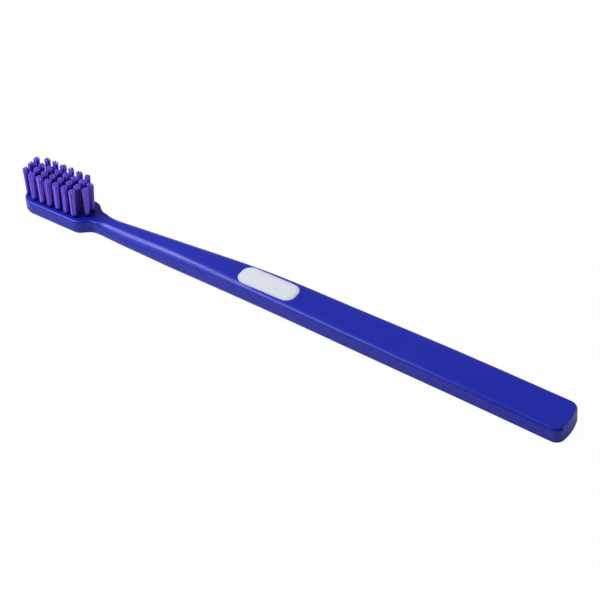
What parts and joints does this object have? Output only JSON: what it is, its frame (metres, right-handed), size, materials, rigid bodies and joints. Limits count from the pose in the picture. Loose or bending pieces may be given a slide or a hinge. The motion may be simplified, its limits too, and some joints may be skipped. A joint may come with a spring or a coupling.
{
  "type": "toothbrush",
  "caption": "Manual toothbrush: one-piece moulded handle with slim neck and flat head, inlaid thumb pad, and rows of filament tufts clamped by metal anchors in blind holes.",
  "frame": {"origin": "bottom centre of the bounding box: under the middle of the brush's length and width, on the plane that its back rests on", "axes": "+X along the brush from the head to the tail, +Y across the handle, +Z from the back towards the bristle tips"},
  "size_m": [0.1882, 0.013, 0.0156],
  "materials": {
    "handle_plastic": "satin moulded polypropylene, deep violet blue",
    "pad_plastic": "smooth white moulded inlay",
    "bristle_nylon": "translucent violet nylon filaments",
    "anchor_metal": "bare rolled brass strip"
  },
  "bodies": {
    "root": {"handle": "handle_plastic", "thumb_pad": "pad_plastic", "tuft_anchors": "anchor_metal", "tuft_far_1": "bristle_nylon", "tuft_far_2": "bristle_nylon", "tuft_far_3": "bristle_nylon", "tuft_far_4": "bristle_nylon", "tuft_far_5": "bristle_nylon", "tuft_far_6": "bristle_nylon", "tuft_mid_far_1": "bristle_nylon", "tuft_mid_far_2": "bristle_nylon", "tuft_mid_far_3": "bristle_nylon", "tuft_mid_far_4": "bristle_nylon", "tuft_mid_far_5": "bristle_nylon", "tuft_mid_far_6": "bristle_nylon", "tuft_mid_far_7": "bristle_nylon", "tuft_mid_near_1": "bristle_nylon", "tuft_mid_near_2": "bristle_nylon", "tuft_mid_near_3": "bristle_nylon", "tuft_mid_near_4": "bristle_nylon", "tuft_mid_near_5": "bristle_nylon", "tuft_mid_near_6": "bristle_nylon", "tuft_mid_near_7": "bristle_nylon", "tuft_near_1": "bristle_nylon", "tuft_near_2": "bristle_nylon", "tuft_near_3": "bristle_nylon", "tuft_near_4": "bristle_nylon", "tuft_near_5": "bristle_nylon", "tuft_near_6": "bristle_nylon", "tuft_tip_1": "bristle_nylon", "tuft_tip_2": "bristle_nylon", "tuft_tip_3": "bristle_nylon"}
  },
  "joints": []
}
